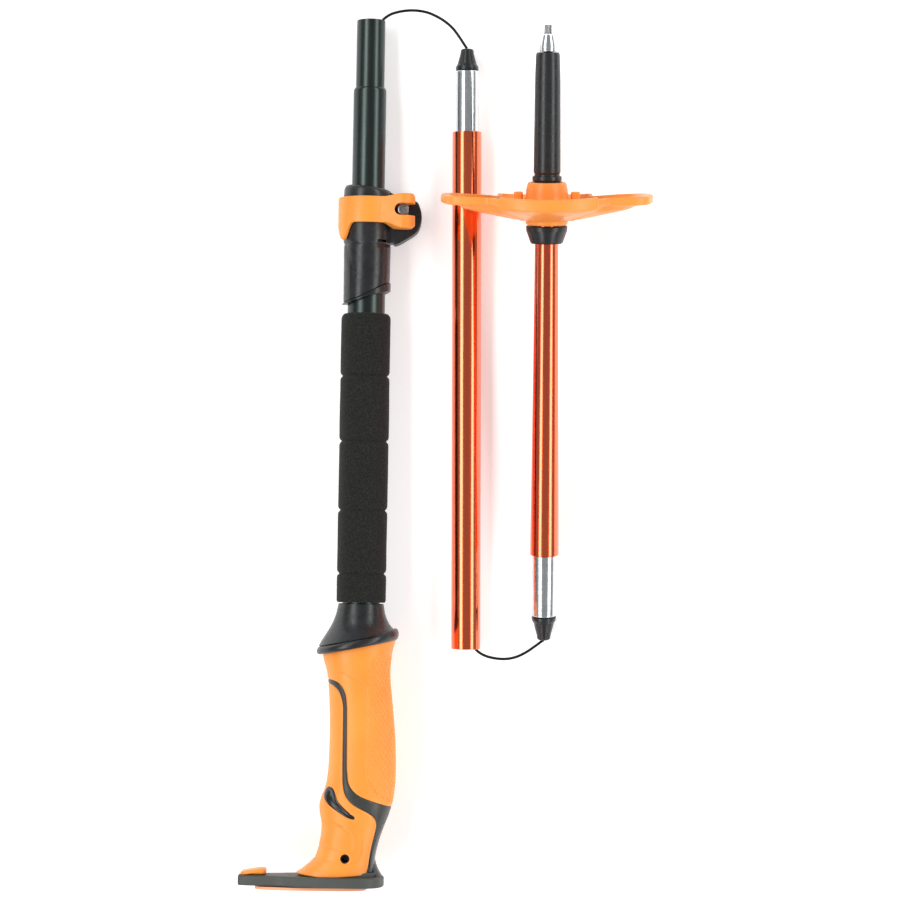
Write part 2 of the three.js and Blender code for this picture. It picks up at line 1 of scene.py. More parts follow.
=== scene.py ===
"""Looks for a folding ski pole that lies folded on a pale floor, seen from straight above.

Shapes are made in millimetres in the frame of the section that they belong to: local y runs along
the tube, x to its right and z away from the floor. Each section's frame is measured on its tube.
"""
import json
import math

import bmesh
import bpy
import numpy as np
from mathutils import Matrix, Vector


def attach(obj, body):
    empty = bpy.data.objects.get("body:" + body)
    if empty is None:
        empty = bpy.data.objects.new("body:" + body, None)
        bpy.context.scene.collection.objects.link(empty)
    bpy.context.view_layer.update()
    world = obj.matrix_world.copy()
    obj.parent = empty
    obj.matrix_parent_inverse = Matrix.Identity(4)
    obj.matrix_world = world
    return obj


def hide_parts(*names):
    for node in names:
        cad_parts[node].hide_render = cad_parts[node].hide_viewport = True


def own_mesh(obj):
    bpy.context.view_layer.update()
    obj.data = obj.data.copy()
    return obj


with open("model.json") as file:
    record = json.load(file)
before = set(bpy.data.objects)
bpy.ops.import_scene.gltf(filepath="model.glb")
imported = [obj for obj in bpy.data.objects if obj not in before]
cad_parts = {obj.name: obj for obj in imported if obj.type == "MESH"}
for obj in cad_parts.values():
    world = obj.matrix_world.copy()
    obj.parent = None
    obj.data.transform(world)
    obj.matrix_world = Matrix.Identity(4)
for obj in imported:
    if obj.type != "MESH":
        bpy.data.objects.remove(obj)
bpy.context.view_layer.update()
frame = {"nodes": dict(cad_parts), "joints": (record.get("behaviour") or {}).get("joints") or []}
MM = 0.001
SIDES = 96
JOINTS = {joint["name"]: joint for joint in frame["joints"]}

# ---- Camera -------------------------------------------------------------------------------

VIEW_CENTRE = (0.00263, 0.0018)      # the point on the floor under the camera
VIEW_HEIGHT = 1.5
VIEW_WIDTH = 0.4401                  # what the frame spans at the level of the tubes
TUBE_LEVEL = 0.01


def make_camera():
    """A camera that looks straight down."""
    data = bpy.data.cameras.new("camera")
    distance = VIEW_HEIGHT - TUBE_LEVEL
    data.angle = 2 * math.atan(VIEW_WIDTH / 2 / distance)
    camera = bpy.data.objects.new("camera", data)
    camera.location = (*VIEW_CENTRE, VIEW_HEIGHT)
    bpy.context.scene.collection.objects.link(camera)
    bpy.context.scene.camera = camera


make_camera()

# ---- Section frames -----------------------------------------------------------------------


def vertices_of(node):
    """A CAD node's corners, in metres."""
    return np.array([v.co for v in frame["nodes"][node].data.vertices], float)


def section_frame(node, axis, low_station):
    """The matrix from a section's millimetres to the row frame, measured on a straight tube."""
    along = Vector(axis).normalized()
    right = along.cross(Vector((0, 0, 1))).normalized()
    up = right.cross(along)
    points = vertices_of(node)
    place = [points @ np.array(direction) for direction in (right, along, up)]
    middle = [(p.min() + p.max()) / 2 for p in place]
    origin = right * middle[0] + along * (place[1].min() - low_station * MM) + up * middle[2]
    turn = Matrix((right, along, up)).transposed().to_4x4()
    return Matrix.Translation(origin) @ turn @ Matrix.Scale(MM, 4)


def tube_axis(node):
    """From a level tube's far end to its near end."""
    points = vertices_of(node)
    low = points[points[:, 1] < points[:, 1].min() + MM].mean(0)
    high = points[points[:, 1] > points[:, 1].max() - MM].mean(0)
    return low - high


OUTER_FROM = -92                     # stations along each section, in millimetres
JOINT_TUBE_MOUTH = 284.6
MIDDLE_FERRULE_END = 40.7
MIDDLE_TUBE_MOUTH = 293.8
LOWER_FERRULE_END = 42.5
TAPER_END = 194.7
UPPER = section_frame("outer_tube", JOINTS["length_adjust"]["axis"], OUTER_FROM)
MIDDLE = section_frame("middle_tube", tube_axis("middle_tube"), MIDDLE_FERRULE_END)
LOWER = section_frame("lower_tube", JOINTS["basket_release"]["axis"], LOWER_FERRULE_END)

# ---- Materials ----------------------------------------------------------------------------


class Paint:
    """A node material in the making, with a few words for what its surface does."""

    def __init__(self, name, roughness, metallic=0.0, specular=0.5, coat=0.0, coat_roughness=0.1):
        self.material = bpy.data.materials.new(name)
        self.material.use_nodes = True
        self.nodes = self.material.node_tree.nodes
        self.links = self.material.node_tree.links
        self.shader = self.nodes["Principled BSDF"]
        self.shader.inputs["Roughness"].default_value = roughness
        self.shader.inputs["Metallic"].default_value = metallic
        self.shader.inputs["Specular IOR Level"].default_value = specular
        self.shader.inputs["Coat Weight"].default_value = coat
        self.shader.inputs["Coat Roughness"].default_value = coat_roughness
        self.shader.inputs["Coat IOR"].default_value = 2.0
        self.place = self.nodes.new("ShaderNodeTexCoord").outputs["Object"]
        self.normal = None

    def stretched(self, scale):
        """Object coordinates in millimetres, squeezed by a scale on each axis."""
        mapping = self.nodes.new("ShaderNodeMapping")
        mapping.inputs["Scale"].default_value = [1000 * s for s in scale]
        self.links.new(self.place, mapping.inputs["Vector"])
        return mapping.outputs["Vector"]

    def noise(self, per_mm, detail, stretch=(1, 1, 1)):
        node = self.nodes.new("ShaderNodeTexNoise")
        node.inputs["Scale"].default_value = per_mm
        node.inputs["Detail"].default_value = detail
        self.links.new(self.stretched(stretch), node.inputs["Vector"])
        return node.outputs["Fac"]

    def cells(self, per_mm):
        node = self.nodes.new("ShaderNodeTexVoronoi")
        node.inputs["Scale"].default_value = per_mm
        self.links.new(self.stretched((1, 1, 1)), node.inputs["Vector"])
        return node.outputs["Distance"]

    def between(self, factor, low, high):
        node = self.nodes.new("ShaderNodeMapRange")
        node.inputs["To Min"].default_value = low
        node.inputs["To Max"].default_value = high
        node.inputs["From Min"].default_value = 0.3
        node.inputs["From Max"].default_value = 0.7
        self.links.new(factor, node.inputs["Value"])
        return node.outputs["Result"]

    def colour(self, factor, low, high):
        node = self.nodes.new("ShaderNodeMix")
        node.data_type = "RGBA"
        node.inputs["A"].default_value = (*low, 1)
        node.inputs["B"].default_value = (*high, 1)
        self.links.new(self.between(factor, 0, 1), node.inputs["Factor"])
        self.links.new(node.outputs["Result"], self.shader.inputs["Base Color"])

    def rough(self, factor, low, high):
        self.links.new(self.between(factor, low, high), self.shader.inputs["Roughness"])

    def bump(self, factor, depth_mm):
        node = self.nodes.new("ShaderNodeBump")
        node.inputs["Strength"].default_value = 1
        node.inputs["Distance"].default_value = depth_mm * MM
        self.links.new(factor, node.inputs["Height"])
        if self.normal is not None:
            self.links.new(self.normal, node.inputs["Normal"])
        self.normal = node.outputs["Normal"]
        self.links.new(self.normal, self.shader.inputs["Normal"])


def plastic(name, low, high, roughness, grain=0.02, specular=0.45):
    """Moulded plastic: a cloudy tone, a fine spark-eroded grain and uneven polish."""
    paint = Paint(name, roughness, specular=specular)
    paint.colour(paint.noise(0.05, 4), low, high)
    paint.rough(paint.noise(0.3, 3), roughness - 0.06, roughness + 0.08)
    paint.bump(paint.noise(3.2, 2), grain)
    return paint.material


def anodised(name, low, high, roughness, coat=0.0):
    """Drawn aluminium tube under a dyed skin, with faint draw lines along it."""
    paint = Paint(name, roughness, metallic=1.0, coat=coat, coat_roughness=0.06)
    lines = paint.noise(0.9, 3, (1, 0.012, 1))
    paint.colour(paint.noise(0.03, 3, (1, 0.2, 1)), low, high)
    paint.rough(lines, roughness - 0.03, roughness + 0.05)
    paint.bump(lines, 0.0006)
    return paint.material


def bright_metal(name, low, high, roughness):
    """Turned metal: fine rings round the axis and a light haze."""
    paint = Paint(name, roughness, metallic=1.0)
    ring_step = 0.55
    rings = paint.noise(1, 2, (0.02, 1 / ring_step, 0.02))
    paint.colour(paint.noise(0.2, 3), low, high)
    paint.rough(rings, roughness - 0.05, roughness + 0.1)
    paint.bump(rings, 0.0006)
    return paint.material


def closed_foam(name):
    """Closed-cell foam: matte black, specked with open cells."""
    paint = Paint(name, 0.92, specular=0.12)
    cells = paint.cells(1.5)
    paint.colour(cells, (0.009, 0.009, 0.0085), (0.022, 0.022, 0.021))
    paint.bump(paint.noise(1.1, 4), 0.12)
    paint.bump(cells, 0.09)
    paint.shader.inputs["Sheen Weight"].default_value = 0.06
    paint.shader.inputs["Sheen Roughness"].default_value = 0.6
    return paint.material


MATERIALS = {name: make(name, *looks) for make, name, *looks in (
    (plastic, "orange_plastic", (0.92, 0.29, 0.034), (0.97, 0.33, 0.046), 0.4),
    (plastic, "basket_plastic", (0.93, 0.3, 0.046), (0.98, 0.345, 0.064), 0.34),
    (plastic, "black_plastic", (0.011, 0.012, 0.013), (0.018, 0.019, 0.021), 0.29, 0.012),
    (plastic, "gloss_black", (0.012, 0.012, 0.013), (0.02, 0.02, 0.021), 0.2, 0.004),
    (plastic, "inlay_black", (0.03, 0.032, 0.029), (0.045, 0.047, 0.042), 0.38),
    (plastic, "grey_plate", (0.06, 0.066, 0.058), (0.08, 0.087, 0.078), 0.5, 0.02, 0.3),
    (plastic, "salmon_pad", (0.9, 0.38, 0.2), (0.95, 0.43, 0.25), 0.6),
    (plastic, "cable", (0.004, 0.004, 0.004), (0.008, 0.008, 0.008), 0.42, 0.006, 0.2),
    (closed_foam, "foam"),
    (anodised, "dark_tube", (0.045, 0.058, 0.055), (0.06, 0.074, 0.07), 0.28),
    (anodised, "orange_tube", (0.95, 0.1, 0.012), (1.0, 0.135, 0.018), 0.15, 0.65),
    (bright_metal, "bright_aluminium", (0.66, 0.7, 0.72), (0.76, 0.79, 0.81), 0.16),
    (bright_metal, "steel", (0.3, 0.3, 0.31), (0.4, 0.4, 0.41), 0.26),
)}

# ---- Mesh tools ---------------------------------------------------------------------------


def smoothstep(value, low, high):
    """An eased step from 0 at low to 1 at high."""
    t = min(1, max(0, (value - low) / (high - low)))
    return t * t * (3 - 2 * t)


def new_piece(name, points, faces, place, material, sharp=35, closed=True):
    """A smooth-shaded object from points in a section's millimetres."""
    mesh = bpy.data.meshes.new(name)
    mesh.from_pydata([tuple(p) for p in points], [], faces)
    mesh.transform(place)
    finish_mesh(mesh, sharp, closed)
    piece = bpy.data.objects.new(name, mesh)
    bpy.context.scene.collection.objects.link(piece)
    mesh.materials.append(MATERIALS[material])
    return piece


def finish_mesh(mesh, sharp=35, closed=True):
    """Smooth shading with creases over an angle in degrees, and a closed body's normals out."""
    if closed:
        work = bmesh.new()
        work.from_mesh(mesh)
        bmesh.ops.recalc_face_normals(work, faces=work.faces)
        work.to_mesh(mesh)
        work.free()
    mesh.polygons.foreach_set("use_smooth", [True] * len(mesh.polygons))
    mesh.set_sharp_from_angle(angle=math.radians(sharp))
    mesh.update()


def rounded(profile, radius, steps=4, share=0.45):
    """A closed polyline, flat or in space, with its corners filleted."""
    result = []
    count = len(profile)
    for i, point in enumerate(profile):
        here = np.array(point, float)
        before = np.array(profile[i - 1], float) - here
        after = np.array(profile[(i + 1) % count], float) - here
        back, ahead = np.linalg.norm(before), np.linalg.norm(after)
        reach = min(radius, share * back, share * ahead)
        start, end = here + before / back * reach, here + after / ahead * reach
        for k in range(steps + 1):
            t = k / steps
            result.append(tuple((1 - t) ** 2 * start + 2 * t * (1 - t) * here + t * t * end))
    return result


def grid_faces(rows, columns, wrap_rows=False):
    """Quads over rows of points, each row closed on itself."""
    faces = []
    for i in range(rows if wrap_rows else rows - 1):
        ahead = (i + 1) % rows
        for j in range(columns):
            side = (j + 1) % columns
            faces.append((i * columns + j, i * columns + side,
                          ahead * columns + side, ahead * columns + j))
    return faces


def angles(sides=SIDES):
    """Equal steps of a full turn."""
    return [2 * math.pi * k / sides for k in range(sides)]


def looped(name, rings, place, material, sharp=35):
    """A body through rings of equal length, the last one joined to the first."""
    points = [p for ring in rings for p in ring]
    faces = grid_faces(len(rings), len(rings[0]), wrap_rows=True)
    return new_piece(name, points, faces, place, material, sharp)


def turned(name, profile, place, material, radius=0.25, sides=SIDES):
    """A ring of revolution from a closed profile of (radius, station), corners filleted."""
    rings = [[(r * math.cos(a), y, r * math.sin(a)) for a in angles(sides)]
             for r, y in rounded(profile, radius)]
    return looped(name, rings, place, material)


def lofted(name, rings, place, material):
    """A body through rings of equal length, closed by a cap at each end."""
    count = len(rings[0])
    points = [p for ring in rings for p in ring]
    faces = grid_faces(len(rings), count)
    faces.append(tuple(range(count)))
    faces.append(tuple(range((len(rings) - 1) * count, len(rings) * count)))
    return new_piece(name, points, faces, place, material)


def smooth_outline(points, steps, closed=True):
    """A Catmull-Rom curve through points."""
    count = len(points)
    result = []
    for i in range(count if closed else count - 1):
        near = [k % count if closed else min(max(k, 0), count - 1) for k in range(i - 1, i + 3)]
        a, b, c, d = (np.array(points[k], float) for k in near)
        for k in range(steps):
            t = k / steps
            result.append(0.5 * (2 * b + (c - a) * t + (2 * a - 5 * b + 4 * c - d) * t * t
                                 + (3 * b - a - 3 * c + d) * t ** 3))
    if not closed:
        result.append(np.array(points[-1], float))
    return result


def tube_profile(r, bore, low, high):
    """The section of a plain tube's wall."""
    return [(bore, low), (r, low), (r, high), (bore, high)]


def slab(name, outline, low, high, place, material, edge, steps=5):
    """A plate drawn in x and z, from one station to another, with rounded edges."""
    flat = np.array(outline, float)
    ahead = np.roll(flat, -1, 0) - flat
    behind = flat - np.roll(flat, 1, 0)
    along = ahead / np.linalg.norm(ahead, axis=1)[:, None]
    along += behind / np.linalg.norm(behind, axis=1)[:, None]
    normal = np.stack([along[:, 1], -along[:, 0]], 1)
    normal /= np.linalg.norm(normal, axis=1)[:, None]
    area = np.sum(flat[:, 0] * np.roll(flat[:, 1], -1) - np.roll(flat[:, 0], -1) * flat[:, 1])
    inward = -normal if area > 0 else normal
    rings = []
    for base, way in ((low, 1), (high, -1)):
        layer = []
        for angle in (k * math.pi / 2 / steps for k in range(steps + 1)):
            inset = edge * (1 - math.sin(angle))
            level = base + way * edge * (1 - math.cos(angle))
            layer.append([(x, level, z) for x, z in flat + inward * inset])
        rings.extend(layer if way > 0 else layer[::-1])
    return lofted(name, rings, place, material)


def carve(piece, cutter):
    """Cuts another object out of a piece, and removes it."""
    modifier = piece.modifiers.new("cut", "BOOLEAN")
    modifier.object = cutter
    modifier.solver = "EXACT"
    evaluated = piece.evaluated_get(bpy.context.evaluated_depsgraph_get())
    mesh = bpy.data.meshes.new_from_object(evaluated)
    piece.modifiers.clear()
    piece.data = mesh
    bpy.data.objects.remove(cutter)
    finish_mesh(mesh)


def joined(name, pieces):
    """Several pieces as one object."""
    with bpy.context.temp_override(active_object=pieces[0], selected_editable_objects=pieces):
        bpy.ops.object.join()
    pieces[0].name = name
    return pieces[0]


def belongs(piece, body, *nodes, slot=None):
    """The piece rides on a body, and may stand for CAD nodes, which it hides; the slot is not
    used.
    """
    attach(piece, body)
    if nodes:
        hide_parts(*nodes)


# ---- Tether loops -------------------------------------------------------------------------

# The routes of the two free loops, as in the CAD model, before it is centred.
CENTRING = (2.63, 1.8, 0.02)
UPPER_LOOP = [
    (-38.77, 193.8, 9.23), (-38.3, 199, 8.9), (-36.4, 205, 8.4), (-33.7, 209.6, 8.1),
    (-29.8, 213, 7.4), (-24.4, 214.9, 6.4), (-18.2, 215.6, 5.5), (-12, 214.9, 4.9),
    (-7, 213, 4.7), (-2, 209.9, 5), (1.7, 206.4, 5.7), (4.6, 202.4, 6.5), (6.9, 198.8, 7),
    (8.3, 196.7, 7.2),
]
LOWER_LOOP = [
    (7.74, -81.75, 7.2), (8.2, -86.4, 7.1), (9.6, -91.8, 6.9), (11.9, -96.8, 6.4),
    (15.4, -100, 5.6), (20.4, -101.9, 4.7), (26.6, -102.6, 4), (32.2, -101.7, 3.7),
    (37.2, -99.4, 3.7), (41.2, -96.7, 3.9), (44.6, -94.2, 4.36), (45.95, -93.2, 4.66),
]
CABLE_R = 0.68


def cable_tube(name, points):
    """A round tube along a smooth route, carried along without twist, and that route."""
    route = [Vector(p) for p in smooth_outline(points, 8, closed=False)]
    side = Vector((0, 0, 1))
    rings = []
    for i, here in enumerate(route):
        along = route[min(i + 1, len(route) - 1)] - route[max(i - 1, 0)]
        across = along.cross(side).normalized()
        side = across.cross(along).normalized()
        rings.append([tuple(here + CABLE_R * (across * math.cos(a) + side * math.sin(a)))
                      for a in angles(16)])
    piece = lofted(name, rings, Matrix.Scale(MM, 4), "cable")
    return piece, [tuple(p * MM) for p in route]


def make_loop(name, points, body):
    """A free loop along its route, riding on its tether's body."""
    shifted = [tuple(np.array(p) + CENTRING) for p in points]
    piece, route = cable_tube(name, shifted)
    belongs(piece, body, name.replace("cable_", ""), slot="cable")
    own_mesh(piece)


make_loop("cable_upper_tether_loop", UPPER_LOOP, "upper_tether")
make_loop("cable_lower_tether_loop", LOWER_LOOP, "lower_tether")

# ---- Grip ---------------------------------------------------------------------------------

# [station, left edge, right edge, half depth, squareness] down the moulded grip.
GRIP_SECTIONS = np.array([
    (-20, -18.6, 17.6, 16.5, 2), (-26.4, -17.5, 15.5, 16, 2.1), (-35, -15.6, 14.7, 14.6, 2.2),
    (-50, -14.4, 16.2, 14.2, 2.2), (-68, -14.1, 17.8, 14.4, 2.2), (-85, -15, 18.1, 14.4, 2.2),
    (-96, -18.2, 16.9, 13.8, 2.2), (-101, -18.3, 15.6, 13.4, 2.2), (-107, -17.3, 13.4, 13, 2.2),
    (-114, -17.8, 11, 12.8, 2.3), (-122, -20, 9.2, 12.8, 2.4),
    (-127.6, -25.5, 8.7, 12.8, 2.4), (-130.3, -29, 9, 12.8, 2.4),
])
INLAY_OUTLINE = [
    (-16.2, -37.1), (-12.7, -37.4), (-9.8, -38.7), (-7.8, -41), (-6.4, -44.4), (-5.8, -49),
    (-5.6, -53.9), (-5.3, -76.5), (-5, -81.5), (-4.1, -86.9), (-0.8, -91.2), (4.6, -94.1),
    (15.4, -97.8), (20, -99), (20, -107.1), (20, -123.8), (20, -133.6), (5.8, -133.6),
    (6.2, -125.7), (7.3, -117.9), (9.1, -110), (9.6, -106.5), (8.6, -103.3), (5.2, -100.6),
    (-1.6, -97), (-5.5, -92.7), (-7, -87.4), (-7.3, -81.5), (-7.4, -76.5), (-7.5, -53.9),
    (-7.7, -49), (-8.6, -45.3), (-10.2, -42.1), (-12.9, -39.8), (-16.6, -38.5),
]
INSERT_OUTLINE = [
    (-13.5, -88.6), (-11.7, -89.6), (-10.5, -92.2), (-9.3, -95.3), (-6.6, -98.2),
    (-3.2, -101.1), (-1.1, -102.7), (-1.4, -103.8), (-4.6, -103), (-8.5, -100.8),
    (-12.2, -98.4), (-14.8, -96.2), (-16.3, -93.6), (-16.2, -91), (-15.2, -89.2),
]
LEASH_HOLE = (-5.3, -122.8, 2.25)    # x, station and radius
GRIP_MIDDLE = -2                     # x of the grip's middle
GRIP_WALL = 1.2
SPINE_TOP = -106                     # the glossy edge at the back of the neck starts here
DIAMOND = (2.5, 3.4)                 # one diamond of the palm side, round the grip and along it
SHALLOW_LINES = [
    [(-11.1, -33.3), (-3.3, -35.7), (2.1, -38.7), (4.2, -44.1), (4.4, -77.5), (6.1, -85.4),
     (10.5, -91.8), (15.4, -94.3)],
    [(-15.1, -105.1), (-7.2, -107.5), (-2.8, -111), (-1.7, -115.9), (-3.5, -119.2),
     (-12.1, -118.3), (-18, -117.5)],
    [(-14.1, -106.6), (-3.3, -108), (1.7, -111), (2.8, -115.9), (2.4, -120.8), (-0.8, -124.8),
     (-8.2, -124.4), (-22, -123)],
]


def distance_to(points, line, closed):
    """Each point's distance to a polyline in the plane."""
    ends = np.array(line, float)
    starts = ends if closed else ends[:-1]
    stops = np.roll(ends, -1, 0) if closed else ends[1:]
    best = np.full(len(points), 1e9)
    for a, b in zip(starts, stops):
        along = b - a
        t = np.clip(((points - a) @ along) / max(along @ along, 1e-12), 0, 1)
        best = np.minimum(best, np.linalg.norm(points - (a + t[:, None] * along), axis=1))
    return best


def signed_distance(points, outline):
    """Distance to a closed outline, negative inside."""
    ring = np.array(outline, float)
    inside = np.zeros(len(points), bool)
    for a, b in zip(ring, np.roll(ring, -1, 0)):
        if a[1] == b[1]:
            continue
        crosses = (a[1] > points[:, 1]) != (b[1] > points[:, 1])
        at = a[0] + (points[:, 1] - a[1]) * (b[0] - a[0]) / (b[1] - a[1])
        inside ^= crosses & (points[:, 0] < at)
    return distance_to(points, ring, True) * np.where(inside, -1, 1)


def keep_below(points, faces, field):
    """The part of a mesh where a field is below zero, cut cleanly along its zero line."""
    kept, index, made = [], {}, {}

    def vertex(i):
        if i not in index:
            index[i] = len(kept)
            kept.append(points[i])
        return index[i]

    def crossing(i, j):
        key = (min(i, j), max(i, j))
        if key not in made:
            t = field[key[0]] / (field[key[0]] - field[key[1]])
            made[key] = len(kept)
            kept.append(points[key[0]] * (1 - t) + points[key[1]] * t)
        return made[key]

    result = []
    for face in faces:
        below = [field[i] < 0 for i in face]
        if not any(below):
            continue
        if all(below):
            result.append(tuple(vertex(i) for i in face))
            continue
        loop = []
        for k, i in enumerate(face):
            j = face[(k + 1) % len(face)]
            if field[i] < 0:
                loop.append(vertex(i))
            if (field[i] < 0) != (field[j] < 0):
                loop.append(crossing(i, j))
        if len(loop) > 2:
            result.append(tuple(loop))
    return np.array(kept), result


def grip_shell(name, points, faces, material):
    """A patch of the grip's surface, turned to face away from its middle and thickened inwards."""
    piece = new_piece(name, points, faces, UPPER, material, 60, closed=False)
    facing = 0.0
    back = UPPER.inverted()
    for face in piece.data.polygons:
        station = (back @ face.center).y
        middle = UPPER @ Vector((GRIP_MIDDLE, station, 0))
        facing += face.area * face.normal.dot(face.center - middle)
    if facing < 0:
        piece.data.flip_normals()
    modifier = piece.modifiers.new("thickness", "SOLIDIFY")
    modifier.thickness = GRIP_WALL * MM
    modifier.offset = -1
    return piece


def grip_surface(rows, columns):
    """The grip's smooth form as a grid of points, with the outward direction at each."""
    stations = np.linspace(GRIP_SECTIONS[0, 0], GRIP_SECTIONS[-1, 0], rows)
    curve = np.array(smooth_outline(GRIP_SECTIONS, 24, closed=False))[::-1]
    left, right, depth, power = (np.interp(stations, curve[:, 0], curve[:, k])
                                 for k in range(1, 5))
    angle = np.linspace(0, 2 * math.pi, columns, endpoint=False)
    c, s = np.cos(angle), np.sin(angle)
    exponent = (2 / power)[:, None]
    x = ((left + right) / 2)[:, None] + ((right - left) / 2)[:, None] * (
        np.sign(c) * np.abs(c) ** exponent)
    z = depth[:, None] * np.sign(s) * np.abs(s) ** exponent
    y = np.repeat(stations[:, None], columns, 1)
    points = np.stack([x, y, z], 2)
    across = np.roll(points, -1, 1) - np.roll(points, 1, 1)
    down = np.gradient(points, axis=0)
    normal = np.cross(across, down)
    normal /= np.linalg.norm(normal, axis=2)[..., None] + 1e-12
    outward = np.sign((normal * np.stack([x, 0 * y, z], 2)).sum(2))[..., None]
    return points.reshape(-1, 3), (normal * outward).reshape(-1, 3)


def relief(points, inlay, insert, hole):
    """The height of the grip's surface over its smooth form: seams, hollows, lines and grain."""
    plan = points[:, :2]
    lift = knurl(points, inlay) - 0.9 * np.clip(-insert / 2.4, 0, 1) ** 1.5
    for field in (inlay, insert):
        lift -= 0.26 * np.exp(-(field / 0.45) ** 2)
    lift -= 0.3 * np.exp(-(np.maximum(hole, 0) / 0.5) ** 2)
    for line in SHALLOW_LINES:
        away = distance_to(plan, smooth_outline(line, 6, False), False)
        lift -= 0.32 * np.exp(-(away / 0.42) ** 2)
    return lift[:, None]


def spine_field(plan):
    """Below zero on the glossy edge at the back of the neck, which widens downwards."""
    right = np.interp(-plan[:, 1], -GRIP_SECTIONS[:, 0], GRIP_SECTIONS[:, 2])
    width = np.interp(plan[:, 1], (-131, -118, SPINE_TOP), (3.4, 2.1, 1.3))
    return np.maximum(right - width - plan[:, 0], plan[:, 1] - SPINE_TOP)


def make_grip():
    """The grip's skin, cut along fields that are negative inside each of its pieces."""
    rows, columns = 400, 560
    points, outward = grip_surface(rows, columns)
    points[:, 1] += edge_shift(points)
    plan = points[:, :2]
    inlay = signed_distance(plan, smooth_outline(INLAY_OUTLINE, 5))
    insert = signed_distance(plan, smooth_outline(INSERT_OUTLINE, 6))
    hole = np.hypot(plan[:, 0] - LEASH_HOLE[0], plan[:, 1] - LEASH_HOLE[1]) - LEASH_HOLE[2]
    spine = spine_field(plan)
    points = points + outward * relief(points, inlay, insert, hole)
    faces = grid_faces(rows, columns)
    seam = 0.06
    body = np.maximum(np.maximum(seam - inlay, seam - insert), -hole)
    pieces = [
        ("grip", body, "orange_plastic", ["grip_body"]),
        ("grip_overmould", np.maximum(inlay, -spine) + seam, "inlay_black", ["grip_inlay"]),
        ("grip_spine", np.maximum(inlay, spine) + seam, "gloss_black", []),
    ]
    for way, side in ((1, "front"), (-1, "back")):
        field = np.maximum(insert + seam, -way * points[:, 2])
        pieces.append((f"finger_rest_{side}", field, "gloss_black", [f"finger_insert_{side}"]))
    for name, field, material, nodes in pieces:
        piece = grip_shell(name, *keep_below(points, faces, field), material)
        belongs(piece, "upper", *nodes)
    x, y, r = LEASH_HOLE
    stand = UPPER @ Matrix.Translation((x, y, 0)) @ Matrix.Rotation(math.pi / 2, 4, "X")
    # The bush lines the leash hole. The thin dark disc that closes its middle (floor either side
    # of the centre) is painted shade, so the through hole reads dark.
    wall, bore, deep, floor = r - 0.05, r - 0.5, 12.3, 0.5
    profile = [(wall, -deep), (wall, deep), (bore, deep), (bore, floor), (0.01, floor),
               (0.01, -floor), (bore, -floor), (bore, -deep)]
    liner = turned("leash_hole_liner_with_shade_disc", profile, stand, "gloss_black", 0.1, 48)
    belongs(liner, "upper")


def edge_shift(points):
    """The top edge follows the collar's slanted rim, and the bottom edge sags to the plate."""
    x, y, _ = points.T
    top = np.clip((y + 40) / 20, 0, 1) ** 1.5
    bottom = np.clip((-112 - y) / 18.3, 0, 1) ** 2
    sag = np.interp(x, (-29, -18, -9, 2, 8, 11.4), (0, -1.5, -1.4, -0.5, 1, 0.2))
    return top * (x + 1.3) * 0.19 + bottom * sag


def knurl(points, inlay):
    """Fine diamonds over the palm side of the grip."""
    x, y, z = points.T
    turn = np.arctan2(z, x - 1.5)
    across, along = math.pi * turn * 15.5 / DIAMOND[0], math.pi * y / DIAMOND[1]
    raised = np.sqrt(np.abs(np.sin(across + along) * np.sin(across - along)))
    edge = 4.6 + 1.2 * np.sin((y + 30) / 22)
    mask = np.clip((x - edge) / 1.6, 0, 1) * np.clip((inlay - 0.9) / 1.2, 0, 1)
    mask *= np.clip((-24.5 - y) / 2.5, 0, 1) * np.clip((y + 100) / 3, 0, 1)
    return 0.42 * mask * (raised - 0.5)


make_grip()

# ---- Collar, foam and head ----------------------------------------------------------------


def ring_at(y, x, r, tilt=0.0):
    """A ring round the tube: the +x side is higher for a positive tilt."""
    return [(x + r * math.cos(a) * math.cos(tilt), y + r * math.cos(a) * math.sin(tilt),
             r * math.sin(a)) for a in angles()]


def make_collar():
    """The flared ring: it leans over to a rolled rim, and its hollow side takes the grip."""
    tilt, shift, rim = 0.2, -1.3, -19.6
    # Station, radius, and the share of the shift and the tilt, down the outside.
    outside = [(-0.3, 10.4, 0), (-0.5, 11, 0), (-2, 11.3, 0), (-5, 11.9, 0.1), (-8, 12.9, 0.2),
               (-11, 14.4, 0.35), (-13.6, 16.3, 0.55), (-15.8, 18.2, 0.8), (-17.3, 19.3, 0.95)]
    rings = [ring_at(y, shift * share, r, tilt * share) for y, r, share in outside]
    for k in range(9):
        a = math.pi * (0.42 - 0.98 * k / 8)
        swell = (0.9 + 1.1 * math.sin(a)) * (math.sin(a) > -0.4)
        level = ring_at(rim + 2 * math.sin(a), shift, 18.4 + 1.9 * math.cos(a), tilt)
        rings.append([(x, y + swell * smoothstep(x, 4, 19), z) for x, y, z in level])
    rings += [ring_at(rim - 1.6, shift, 17.4, tilt), ring_at(rim + 0.4, shift, 16.6, tilt),
              ring_at(rim + 3, 0.5 * shift, 14, 0.6 * tilt), ring_at(-12, 0, 9.5),
              ring_at(-0.3, 0, 9.5)]
    belongs(looped("flared_collar", rings, UPPER, "black_plastic"), "upper", "grip_collar")


FOAM = {"r": 12, "bore": 9.4, "top": 140.8}
FOAM_GROOVES = (14.3, 45, 78.5, 110.3)


